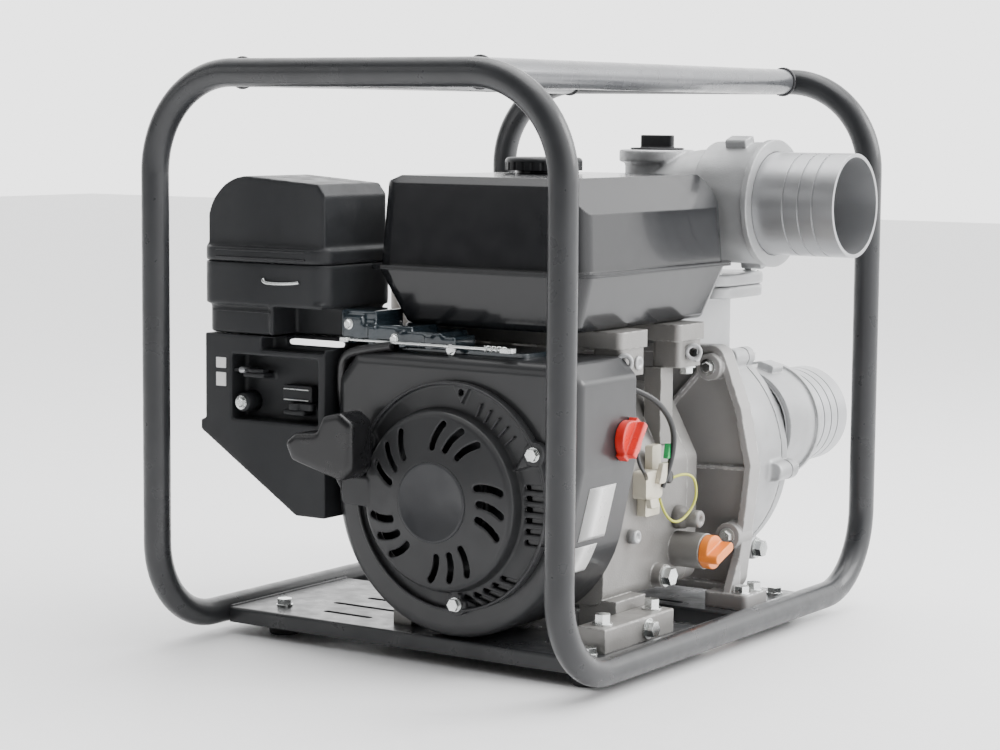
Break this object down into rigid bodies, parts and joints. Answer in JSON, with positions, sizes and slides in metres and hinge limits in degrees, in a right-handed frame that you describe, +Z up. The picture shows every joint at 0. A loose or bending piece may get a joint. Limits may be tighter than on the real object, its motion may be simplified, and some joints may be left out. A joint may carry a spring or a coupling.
{
  "type": "engine driven water pump",
  "caption": "Petrol engine water pump in a bent tube frame: recoil starter, tank, air cleaner, ribbed bracket, volute casing and grooved hose tails.",
  "frame": {"origin": "on the ground under the middle of the bounding box", "axes": "+Z up, +Y along the crankshaft from the recoil starter to the pump, +X the side with the discharge"},
  "size_m": [0.4961, 0.6794, 0.5437],
  "materials": {
    "frame_black": "satin black powder coat",
    "rail_grey": "light grey powder coat",
    "zinc": "bright zinc plate",
    "rubber_black": "matt",
    "plastic_black": "satin moulded",
    "gloss_black": "gloss black enamel",
    "engine_grey": "sand cast, painted grey",
    "bracket_grey": "ribbed casting, dark grey paint",
    "bright_aluminium": "bright die casting",
    "cast_iron": "as cast",
    "steel": "machined",
    "exhaust": "heat dulled steel",
    "red_plastic": "satin",
    "orange_plastic": "satin",
    "rope": "braided cord",
    "foam": "open cell foam",
    "ceramic_seal": "lapped"
  },
  "bodies": {
    "frame_group": {"frame_tube_left": "frame_black", "frame_tube_right": "frame_black", "top_rails": "rail_grey", "front_base_plate": "frame_black", "rear_base_plate": "frame_black", "rubber_feet": "rubber_black", "foot_bolts": "zinc", "engine_mount_bars": "bright_aluminium", "mount_bolts": "zinc", "crankcase": "engine_grey", "crankcase_cover": "engine_grey", "cylinder_head": "engine_grey", "rocker_cover": "engine_grey", "spark_plug": "steel", "fan_shroud": "gloss_black", "recoil_housing": "bracket_grey", "recoil_screws": "zinc", "ignition_coil": "plastic_black", "fuel_tank_lower": "gloss_black", "fuel_tank_upper": "gloss_black", "fuel_strainer": "plastic_black", "tank_brackets": "frame_black", "air_cleaner_body": "plastic_black", "filter_element": "foam", "control_housing": "plastic_black", "carburettor": "bright_aluminium", "control_plate": "frame_black", "muffler": "exhaust", "muffler_guard": "exhaust", "drain_plugs": "zinc", "oil_alert_unit": "plastic_black", "wiring": "rubber_black", "pump_bracket": "bracket_grey", "pump_casing": "bright_aluminium", "suction_cover": "bright_aluminium", "mechanical_seal": "ceramic_seal", "discharge_elbow": "bright_aluminium", "hose_tails": "bright_aluminium", "pump_bolts": "zinc"},
    "crank_group": {"crankshaft": "steel", "flywheel": "cast_iron", "cooling_fan": "plastic_black", "starter_cup": "steel", "impeller": "cast_iron"},
    "piston_group": {"piston": "bright_aluminium"},
    "reel_group": {"starter_reel": "plastic_black"},
    "grip_group": {"starter_grip": "rubber_black", "starter_rope": "rope"},
    "cap_gasket_group": {"fuel_cap_gasket": "rubber_black"},
    "cap_group": {"fuel_cap": "plastic_black"},
    "lid_group": {"air_cleaner_lid": "plastic_black"},
    "choke_group": {"choke_lever": "steel"},
    "valve_group": {"fuel_valve": "plastic_black"},
    "governor_group": {"governor_rod": "zinc"},
    "switch_group": {"switch_knob": "red_plastic"},
    "oil_cap_group": {"oil_filler_cap": "orange_plastic"},
    "plug_group": {"priming_plug": "plastic_black"},
    "discharge_nut_group": {"discharge_nut": "bright_aluminium"},
    "suction_nut_group": {"suction_nut": "bright_aluminium"},
    "flap_group": {"check_valve": "rubber_black"}
  },
  "joints": [
    {"name": "crank_spin", "type": "hinge", "parent": "frame_group", "child": "crank_group", "pos_m": [0.03265, -0.039, 0.154], "axis": [0, 1, 0], "continuous": true},
    {"name": "piston_slide", "type": "slide", "parent": "frame_group", "child": "piston_group", "axis": [0.9063, 0, -0.4226], "range_m": [0, 0.058]},
    {"name": "starter_pull", "type": "slide", "parent": "frame_group", "child": "grip_group", "axis": [-0.3008, -0.9324, 0.2005], "range_m": [0, 0.6]},
    {"name": "reel_spin", "type": "hinge", "parent": "frame_group", "child": "reel_group", "pos_m": [0.03265, -0.254, 0.154], "axis": [0, -1, 0], "range_deg": [0, 1050]},
    {"name": "fuel_cap_lift", "type": "slide", "parent": "frame_group", "child": "cap_gasket_group", "axis": [0, 0, 1], "range_m": [0, 0.055]},
    {"name": "fuel_cap_turn", "type": "hinge", "parent": "cap_gasket_group", "child": "cap_group", "pos_m": [0.00065, -0.039, 0.45], "axis": [0, 0, 1], "range_deg": [0, 90]},
    {"name": "cleaner_lid_lift", "type": "slide", "parent": "frame_group", "child": "lid_group", "axis": [0, 0, 1], "range_m": [0, 0.07]},
    {"name": "choke_turn", "type": "hinge", "parent": "frame_group", "child": "choke_group", "pos_m": [-0.18735, -0.241, 0.255], "axis": [0, 0, 1], "range_deg": [-25, 25]},
    {"name": "fuel_valve_turn", "type": "hinge", "parent": "frame_group", "child": "valve_group", "pos_m": [-0.13935, -0.241, 0.225], "axis": [0, 0, -1], "range_deg": [0, 90]},
    {"name": "governor_slide", "type": "slide", "parent": "frame_group", "child": "governor_group", "axis": [1, 0, 0], "range_m": [-0.004, 0.004]},
    {"name": "switch_turn", "type": "hinge", "parent": "frame_group", "child": "switch_group", "pos_m": [0.16265, -0.165, 0.211], "axis": [1, 0, 0], "range_deg": [-45, 0]},
    {"name": "oil_cap_pull", "type": "slide", "parent": "frame_group", "child": "oil_cap_group", "axis": [1, 0, 0], "range_m": [0, 0.055]},
    {"name": "priming_plug_lift", "type": "slide", "parent": "frame_group", "child": "plug_group", "axis": [0, 0, 1], "range_m": [0, 0.045]},
    {"name": "discharge_nut_turn", "type": "hinge", "parent": "frame_group", "child": "discharge_nut_group", "pos_m": [0.12465, 0.128, 0.4115], "axis": [1, 0, 0], "continuous": true},
    {"name": "suction_nut_turn", "type": "hinge", "parent": "frame_group", "child": "suction_nut_group", "pos_m": [0.09265, 0.211, 0.181], "axis": [0, 1, 0], "continuous": true},
    {"name": "check_flap_swing", "type": "hinge", "parent": "frame_group", "child": "flap_group", "pos_m": [0.09265, 0.1715, 0.2245], "axis": [1, 0, 0], "range_deg": [-18, 0]}
  ],
  "couplings": [
    {"joint": "reel_spin", "follows": "starter_pull", "rad_per_m": 30.303}
  ]
}
